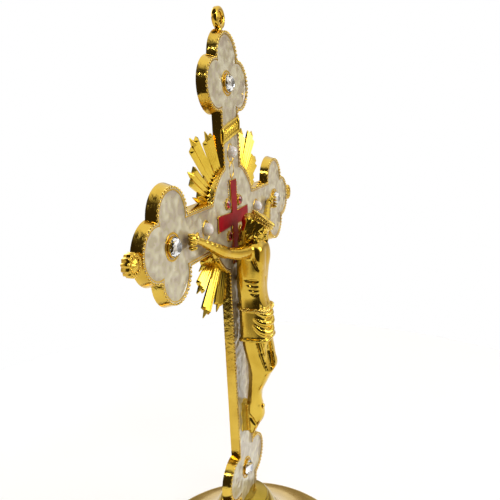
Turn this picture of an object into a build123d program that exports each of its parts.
from build123d import *
import os
from math import atan2, cos, degrees, radians, sin

# A standing altar crucifix: a flat cast cross with trefoil ends and a round centre, filled with
# enamel, set with stones, carrying a cast figure, and screwed to a round bell-shaped base.
# Frame: origin under the centre of the base, +Z up, the enamelled face looks along -Y.

# Driving dimensions, millimetres
CROSSING_Z = 147.0          # height of the crossing above the table
ARM_REACH = 44.0            # crossing to the stone at the end of each arm
TOP_REACH = 45.5            # crossing to the top stone
FOOT_REACH = 101.0          # crossing to the stone at the foot
LOBE_R = 8.4                # radius of each trefoil lobe
TIP_OFFSET = 7.9            # stone to centre of the outermost lobe
SIDE_OFFSET = 8.55          # stone to centre of each side lobe
SIDE_SETBACK = 0.6          # side lobes sit this far inward of the stone
ARM_HALF = 7.9              # half height of the cross arm
SHAFT_HALF = 7.0            # half width of the upright
MEDALLION_R = 19.4          # radius of the round centre
RIM_Y = -1.7                # front of the rim
BACK_Y = 1.4                # back of the casting
FLARE = 1.0                 # the side wall spreads by this much towards the back
RIM_WIDTH = 1.1             # width of the rim around the enamel
FLOOR_Y = -0.4              # floor of the recess
ENAMEL_Y = -0.9             # surface of the enamel
TITULUS_Y = -2.1            # front of the title scroll
TITULUS_LOW = 27.4          # height of the scroll's lower edge on the centre line
TITULUS_HEIGHT = 5.6        # width of the scroll, measured upright
TITULUS_RISE = 0.26         # how much the scroll rises per millimetre to the right
CRYSTAL_R = 3.05            # clear stones
CRYSTAL_SEAT_Y = -1.3       # back of the stone in its cup
CRYSTAL_GIRDLE_Y = -2.1     # widest part of the stone
CRYSTAL_TABLE = 1.4         # table in front of the girdle
CRYSTAL_CUP_R = 3.6
CRYSTAL_CUP_Y = -1.9        # lip of the cup
PEARL_R = 2.1
PEARL_Y = -1.3              # centre of each pearl
PEARL_SEAT_Y = -1.0         # pearls are cut flat here
PEARL_CUP_Y = -1.6
PEARL_X = 22.2              # pearls on the arms
PEARL_TOP_Z = 22.9          # pearl above the centre
RUBY_R = 1.3
RUBY_SEAT_Y = -1.2
RUBY_GIRDLE_Y = -1.8
RUBY_CUP_R = 1.7
RUBY_CUP_Y = -1.8
RUBY_X = 5.15
RUBY_Z = 5.6
RED_BAR = 11.9              # half length of the red cross bar
RED_TOP = 13.0
RED_FOOT = 15.8
RED_HALF = 2.3              # half width of the red bars at their ends
RED_EDGE = 0.5              # gold edge around the red enamel
RED_EDGE_Y = -1.9           # front of that edge
RED_FLOOR_Y = -1.4
RED_Y = -1.8                # surface of the red enamel
EYE_Z = 66.0                # hanging eye, above the crossing
EYE_R = 3.65
EYE_HOLE_R = 1.85
EYE_FRONT_Y = -0.35
EYE_LENGTH = 2.2
KNOB_X = 63.6
KNOB_R = 3.3
KNOB_HALF_Y = 2.3           # knobs are ground flat in front and behind at this half depth
RAY_THICK = 1.5
RAY_BACK_Y = 0.9
RAY_POINT = 2.8             # length of the point at the tip of each ray
RAY_INNER = 17.0            # rays start behind the edge of the round centre
RAY_WEB = 25.5              # they are joined by a web out to this radius
HUB_TOP_Z = 34.0
HUB_R = 8.8
HUB_FOOT_R = 13.2
SHELL_TOP_Z = 26.0
BASE_R = 44.0
BAND_TOP_Z = 5.3            # top of the upright band around the base
WALL = 1.6
BOSS_R = 3.2                # round boss under the foot, tapped for the base screw
BOSS_END_Z = 24.8
SCREW_R = 1.5
PAD_THICK = 1.2
PLATE_THICK = 2.5
NAIL_R = 0.5
RIVET_R = 1.0
FIGURE_BACK_RIVETS = (-22.0, -33.0)     # heights below the crossing
FOOT_NAIL = (0.0, -9.6, -72.6)
HAND = (33.4, -2.3, 0.2)
STAND = (Align.CENTER, Align.CENTER, Align.MIN)


def facing(y):
    """Plane parallel to the cross face at depth y, centred on the crossing, normal to the front."""
    return Plane(origin=(0, y, CROSSING_Z), x_dir=(1, 0, 0), z_dir=(0, -1, 0))


def prism(sketch, back, front):
    """Solid of a sketch on the cross face between two depths."""
    return extrude(facing(back) * sketch, amount=back - front)


def disc(x, z, radius, back, front):
    return prism(Pos(x, z) * Circle(radius), back, front)


def trefoil(across, up, reach, grow):
    """Three lobes and the heart between them, at the end of an arm pointing (across, up)."""
    far = reach + TIP_OFFSET
    shape = Pos(across * far, up * far) * Circle(LOBE_R + grow)
    shape += Pos(across * reach, up * reach) * Circle(LOBE_R)
    inward = reach - SIDE_SETBACK
    for side in (-1, 1):
        x = across * inward + up * side * SIDE_OFFSET
        z = up * inward + across * side * SIDE_OFFSET
        shape += Pos(x, z) * Circle(LOBE_R + grow)
    return shape


def outline(grow):
    """Outline of the whole cross face, made wider all round by grow."""
    upright = TOP_REACH + FOOT_REACH
    shape = Circle(MEDALLION_R + grow)
    shape += Rectangle(2 * ARM_REACH, 2 * (ARM_HALF + grow))
    shape += Pos(0, (TOP_REACH - FOOT_REACH) / 2) * Rectangle(2 * (SHAFT_HALF + grow), upright)
    shape += trefoil(-1, 0, ARM_REACH, grow)
    shape += trefoil(1, 0, ARM_REACH, grow)
    shape += trefoil(0, 1, TOP_REACH, grow)
    shape += trefoil(0, -1, FOOT_REACH, grow)
    return shape


def titulus_band():
    """Slanting strip across the upright between the top piece and the centre."""
    half = 2 * SHAFT_HALF
    rise = TITULUS_RISE * half
    low = TITULUS_LOW
    high = low + TITULUS_HEIGHT
    lower = [(-half, low - rise), (half, low + rise)]
    upper = [(half, high + rise), (-half, high - rise)]
    return Polygon(*lower, *upper, align=None)


def red_outline(grow):
    """Cross with bars that widen slightly to their ends."""
    waist = 0.8 * RED_HALF + grow
    end = RED_HALF + grow
    bar = RED_BAR + grow
    top = RED_TOP + grow
    foot = -RED_FOOT - grow
    level = [(-bar, -end), (0, -waist), (bar, -end), (bar, end), (0, waist), (-bar, end)]
    upright = [(-end, foot), (end, foot), (waist, 0), (end, top), (-end, top), (-waist, 0)]
    return Polygon(*level, align=None) + Polygon(*upright, align=None)


def almond(half_width, half_height):
    """Pointed oval made of two arcs, standing upright."""
    right = ThreePointArc((0, -half_height), (half_width, 0), (0, half_height))
    left = ThreePointArc((0, half_height), (-half_width, 0), (0, -half_height))
    return make_face([right, left])


def make_cross():
    """Cast body: flared side wall, rim, recess and the tapped boss that enters the base."""
    angle = degrees(atan2(FLARE, BACK_Y - RIM_Y))
    body = extrude(facing(BACK_Y) * outline(FLARE), amount=BACK_Y - RIM_Y, taper=angle)
    body -= prism(outline(-RIM_WIDTH), FLOOR_Y, RIM_Y - 1)
    lobe_end = CROSSING_Z - FOOT_REACH - TIP_OFFSET - LOBE_R
    boss = Pos(0, 0, BOSS_END_Z) * Cylinder(BOSS_R, lobe_end + 1 - BOSS_END_Z, align=STAND)
    body += boss
    body -= Pos(0, 0, BOSS_END_Z - 1) * Cylinder(SCREW_R, 5.5, align=STAND)
    for z in FIGURE_BACK_RIVETS:
        body -= disc(0, z, RIVET_R, BACK_Y + 1, RIM_Y - 1)
    return body


def make_crystal(x, z):
    """Round cut stone: pavilion in the cup, girdle and flat table."""
    seat = disc(x, z, CRYSTAL_R, CRYSTAL_SEAT_Y, CRYSTAL_GIRDLE_Y)
    girdle = facing(CRYSTAL_GIRDLE_Y) * (Pos(x, z) * Circle(CRYSTAL_R))
    return seat + extrude(girdle, amount=CRYSTAL_TABLE, taper=45)


def make_crystal_cup(x, z):
    cup = disc(x, z, CRYSTAL_CUP_R, FLOOR_Y, CRYSTAL_CUP_Y)
    return cup - disc(x, z, CRYSTAL_R, CRYSTAL_SEAT_Y, CRYSTAL_CUP_Y - 1)


def make_pearl(x, z):
    """Ball cut flat where it is glued down."""
    ball = Pos(x, PEARL_Y, CROSSING_Z + z) * Sphere(PEARL_R)
    return ball & disc(x, z, 2 * PEARL_R, PEARL_SEAT_Y, PEARL_Y - 2 * PEARL_R)


def make_pearl_cup(x, z, tail):
    """Pointed oval seat; the top one has a drop-shaped tail below it."""
    shape = Pos(x, z) * almond(2.9, 4.3)
    if tail:
        shape += Pos(x, z - 5.2) * almond(1.3, 2.7)
    return prism(shape, FLOOR_Y, PEARL_CUP_Y) - disc(x, z, PEARL_R, PEARL_SEAT_Y, PEARL_CUP_Y - 1)


def make_ruby(x, z):
    seat = disc(x, z, RUBY_R, RUBY_SEAT_Y, RUBY_GIRDLE_Y)
    girdle = facing(RUBY_GIRDLE_Y) * (Pos(x, z) * Circle(RUBY_R))
    return seat + extrude(girdle, amount=0.5, taper=45)


def make_ruby_cup(x, z):
    cup = disc(x, z, RUBY_CUP_R, FLOOR_Y, RUBY_CUP_Y)
    return cup - disc(x, z, RUBY_R, RUBY_SEAT_Y, RUBY_CUP_Y - 1)


def make_ray(angle, tip, half_inner, half_outer):
    """One blunt ray with a short point, from the root to its tip, outward at angle degrees."""
    shoulder = tip - RAY_POINT
    point = half_outer / 3
    shape = Polygon(
        (RAY_INNER, -half_inner), (shoulder, -half_outer), (shoulder, -point), (tip, 0),
        (shoulder, point), (shoulder, half_outer), (RAY_INNER, half_inner), align=None,
    )
    return Rot(0, 0, angle) * shape


def make_fan(rays, cross):
    """Bundle of rays that ends against the wall of the cross."""
    angles = [ray[0] for ray in rays]
    web = []
    for angle in (min(angles), (min(angles) + max(angles)) / 2, max(angles)):
        web.append((RAY_WEB * cos(radians(angle)), RAY_WEB * sin(radians(angle))))
    shape = Polygon((0, 0), *web, align=None)
    for ray in rays:
        shape += make_ray(*ray)
    fan = prism(shape, RAY_BACK_Y, RAY_BACK_Y - RAY_THICK)
    fan -= cross
    fan -= prism(outline(0), 3, -3)
    return fan


def mirrored(rays):
    return [(180 - angle, tip, inner, outer) for angle, tip, inner, outer in rays]


def tapered(start, end, r_start, r_end):
    """Round limb between two points with a ball at its far end."""
    line = Vector(*end) - Vector(*start)
    plane = Plane(origin=start, z_dir=line)
    limb = plane * Cone(r_start, r_end, line.length, align=STAND)
    return limb + Pos(*end) * Sphere(r_end)


def make_figure():
    """Hanging figure as a plain solid: trunk, cloth and legs in one loft, arms, hands and head."""
    # height, centre depth, half width, half depth of each oval section
    trunk = (
        (-9.5, -8.6, 5.2, 3.0),
        (-17.0, -9.0, 6.6, 4.8),
        (-25.3, -8.8, 5.0, 4.1),
        (-32.0, -9.2, 6.0, 5.3),
        (-44.0, -9.8, 5.7, 5.4),
        (-54.7, -10.7, 4.9, 4.9),
        (-62.5, -8.6, 3.9, 3.3),
        (-69.7, -7.2, 2.9, 2.3),
    )
    feet = (
        (-69.7, -7.2, 2.9, 2.3),
        (-76.0, -7.0, 2.7, 2.7),
        (-82.5, -4.9, 2.3, 1.3),
    )
    figure = None
    for part in (trunk, feet):
        ovals = [Pos(0, y, CROSSING_Z + z) * Ellipse(across, deep) for z, y, across, deep in part]
        piece = loft(ovals)
        figure = piece if figure is None else figure + piece
    for side in (-1, 1):
        shoulder = (side * 5.4, -8.2, CROSSING_Z - 10.6)
        elbow = (side * 18.5, -5.6, CROSSING_Z - 7.6)
        wrist = (side * 30.0, -3.0, CROSSING_Z - 1.4)
        palm = (side * HAND[0], HAND[1], CROSSING_Z + HAND[2])
        figure += Pos(*shoulder) * Sphere(2.6)
        figure += tapered(shoulder, elbow, 2.3, 1.6)
        figure += tapered(elbow, wrist, 1.6, 1.1)
        figure += tapered(wrist, palm, 1.1, 1.4)
    neck = (-0.6, -9.4, CROSSING_Z - 7.0)
    head = (-1.2, -10.6, CROSSING_Z - 2.6)
    figure += tapered((0, -8.4, CROSSING_Z - 11.0), neck, 3.0, 2.4)
    figure += Pos(*head) * scale(Sphere(1.0), by=(4.0, 4.6, 4.9))
    return figure


def make_rivet(z):
    """Headed pin from the back of the cross into the back of the figure."""
    shank = disc(0, z, RIVET_R, BACK_Y, -6.5)
    head = disc(0, z, 2.0, BACK_Y + 0.7, BACK_Y)
    return shank + head


def make_nail(x, y, z, head_r, tail_y):
    """Nail with a flat round head; y is the front of the head."""
    return disc(x, z, head_r, y + 0.5, y) + disc(x, z, NAIL_R, tail_y, y + 0.5)


def make_support():
    """Wedge that stands out of the upright and carries the feet."""
    profile = Polygon(
        (FLOOR_Y, -71.5), (-5.2, -71.5), (-4.6, -82.6), (FLOOR_Y, -84.2), align=None,
    )
    side = Plane(origin=(-2.2, 0, CROSSING_Z), x_dir=(0, 1, 0), z_dir=(1, 0, 0))
    return extrude(side * profile, amount=4.4)


def shell_profile(inset):
    """Half section of the bell-shaped base from its rim to its neck, set in by inset."""
    rim = BASE_R - inset
    lip = BAND_TOP_Z - inset
    top = SHELL_TOP_Z - inset
    neck = HUB_FOOT_R - inset
    shoulder = (rim - 1.2, lip + 0.8)
    edges = [
        Line((0, 0), (rim, 0)),
        Line((rim, 0), (rim, lip)),
        Line((rim, lip), shoulder),
        Bezier(shoulder, (31.0 - inset, 9.6 - inset), (18.5 - inset, 16.5 - inset), (neck, top)),
        Line((neck, top), (0, top)),
        Line((0, top), (0, 0)),
    ]
    return Plane.XZ * make_face(edges)


def make_shell():
    """Hollow base casting with a hole in its crown for the boss of the cross."""
    shell = revolve(shell_profile(0), Axis.Z)
    shell -= revolve(shell_profile(WALL), Axis.Z)
    shell -= Pos(0, 0, SHELL_TOP_Z - 5) * Cylinder(BOSS_R + 0.1, 10, align=STAND)
    return shell


def make_hub():
    """Turned collar between the shell and the foot of the cross."""
    foot = (HUB_FOOT_R - 0.3, SHELL_TOP_Z + 0.9)
    shoulder = (HUB_R, HUB_TOP_Z - 0.5)
    edges = [
        Line((0, SHELL_TOP_Z), (HUB_FOOT_R, SHELL_TOP_Z)),
        Line((HUB_FOOT_R, SHELL_TOP_Z), foot),
        Bezier(foot, (10.2, 28.6), (9.3, 31.0), shoulder),
        Line(shoulder, (HUB_R - 0.5, HUB_TOP_Z)),
        Line((HUB_R - 0.5, HUB_TOP_Z), (0, HUB_TOP_Z)),
        Line((0, HUB_TOP_Z), (0, SHELL_TOP_Z)),
    ]
    return revolve(Plane.XZ * make_face(edges), Axis.Z)


def ring(outer, inner, low, high):
    solid = Pos(0, 0, low) * Cylinder(outer, high - low, align=STAND)
    if inner:
        solid -= Pos(0, 0, low - 1) * Cylinder(inner, high - low + 2, align=STAND)
    return solid


CRYSTALS = {
    "left": (-ARM_REACH, 0), "right": (ARM_REACH, 0),
    "top": (0, TOP_REACH), "foot": (0, -FOOT_REACH),
}
PEARLS = {"left": (-PEARL_X, 0.4), "right": (PEARL_X, 0.4), "top": (0, PEARL_TOP_Z)}
RUBIES = {
    "upper_left": (-RUBY_X, RUBY_Z), "upper_right": (RUBY_X, RUBY_Z),
    "lower_left": (-RUBY_X, -RUBY_Z), "lower_right": (RUBY_X, -RUBY_Z),
}
# direction, length from the crossing, half width at the root and at the tip
UPPER_RAYS = [
    (63.5, 34.0, 1.8, 2.7),
    (48.5, 38.6, 1.9, 2.8),
    (34.0, 34.2, 1.8, 2.7),
    (24.5, 28.5, 1.3, 1.4),
]
LOWER_RAYS = [
    (-64.0, 33.6, 1.8, 2.7),
    (-49.0, 38.0, 1.9, 2.8),
    (-34.5, 34.0, 1.8, 2.7),
    (-25.0, 28.5, 1.3, 1.4),
]


def main():
    nodes = {}
    cross = make_cross()
    nodes["cross_frame"] = cross
    for name, (x, z) in CRYSTALS.items():
        nodes["crystal_" + name] = make_crystal(x, z)
        nodes["crystal_cup_" + name] = make_crystal_cup(x, z)
    for name, (x, z) in PEARLS.items():
        nodes["pearl_" + name] = make_pearl(x, z)
        nodes["pearl_cup_" + name] = make_pearl_cup(x, z, name == "top")
    for name, (x, z) in RUBIES.items():
        nodes["ruby_" + name] = make_ruby(x, z)
        nodes["ruby_cup_" + name] = make_ruby_cup(x, z)

    pocket = outline(-RIM_WIDTH)
    nodes["title_scroll"] = prism(titulus_band() & pocket, FLOOR_Y, TITULUS_Y)
    edge = prism(red_outline(RED_EDGE), FLOOR_Y, RED_EDGE_Y)
    edge -= prism(red_outline(0), RED_FLOOR_Y, RED_EDGE_Y - 1)
    nodes["red_cross_edge"] = edge
    nodes["red_cross_enamel"] = prism(red_outline(0), RED_FLOOR_Y, RED_Y)

    nodes["foot_support"] = make_support()
    for z, name in zip(FIGURE_BACK_RIVETS, ("upper", "lower")):
        nodes["figure_rivet_" + name] = make_rivet(z)
    for side, name in ((-1, "left"), (1, "right")):
        nodes["hand_nail_" + name] = make_nail(side * HAND[0], -4.3, HAND[2], 1.0, FLOOR_Y)
    nodes["foot_nail"] = make_nail(FOOT_NAIL[0], FOOT_NAIL[1] - 0.3, FOOT_NAIL[2], 1.0, -6.0)

    figure = make_figure()
    for name, shape in nodes.items():
        if name.startswith(("figure_rivet", "hand_nail", "foot_nail", "foot_support")):
            figure -= shape
    nodes["figure"] = figure

    # The enamel fills the recess around everything that stands on its floor.
    fill = prism(pocket, FLOOR_Y, ENAMEL_Y)
    standing = ("crystal_cup", "pearl_cup", "ruby_cup", "title", "foot_support", "figure_rivet", "hand_nail")
    for name, shape in nodes.items():
        if name.startswith(standing):
            fill -= shape
    fill -= prism(red_outline(RED_EDGE), 1, -4)
    panels = sorted(fill.solids(), key=lambda solid: solid.volume)
    nodes["enamel_main"] = panels[-1]
    nodes["enamel_top"] = panels[-2]

    fans = {
        "upper_right": UPPER_RAYS, "upper_left": mirrored(UPPER_RAYS),
        "lower_right": LOWER_RAYS, "lower_left": mirrored(LOWER_RAYS),
    }
    for name, rays in fans.items():
        nodes["ray_fan_" + name] = make_fan(rays, cross)

    eye = disc(0, EYE_Z, EYE_R, EYE_FRONT_Y + EYE_LENGTH, EYE_FRONT_Y)
    eye += prism(Pos(0, EYE_Z - 3.8) * Rectangle(2.8, 2.6), BACK_Y, EYE_FRONT_Y)
    eye -= disc(0, EYE_Z, EYE_HOLE_R, 5, -5)
    nodes["hanging_eye"] = eye - cross - prism(outline(0), 3, -3)
    middle = (RIM_Y + BACK_Y) / 2
    knob = Pos(-KNOB_X, middle, CROSSING_Z) * Sphere(KNOB_R)
    knob &= disc(-KNOB_X, 0, 2 * KNOB_R, middle + KNOB_HALF_Y, middle - KNOB_HALF_Y)
    knob = knob - cross - prism(outline(0), 4, -4)
    nodes["arm_knob_left"] = knob
    nodes["arm_knob_right"] = mirror(knob, Plane.YZ)

    hub = make_hub()
    hub -= prism(outline(FLARE), BACK_Y, RIM_Y)
    hub -= Pos(0, 0, SHELL_TOP_Z - 1) * Cylinder(BOSS_R + 0.1, 7, align=STAND)
    nodes["base_hub"] = hub
    nodes["base_shell"] = make_shell()
    inner = BASE_R - WALL - 0.1
    nodes["base_plate"] = ring(inner, 0, PAD_THICK, PAD_THICK + PLATE_THICK)
    nodes["felt_pad"] = ring(inner, 0, 0, PAD_THICK)
    under = SHELL_TOP_Z - WALL
    nodes["base_washer"] = ring(6.0, SCREW_R + 0.1, under - 1.0, under)
    screw = ring(SCREW_R, 0, under - 1.0, BOSS_END_Z + 4.0)
    screw += ring(3.0, 0, under - 3.0, under - 1.0)
    nodes["base_screw"] = screw

    os.makedirs("parts", exist_ok=True)
    for name, shape in nodes.items():
        shape.label = name
        export_step(shape, "parts/" + name + ".step")
    print(len(nodes), "nodes")


main()
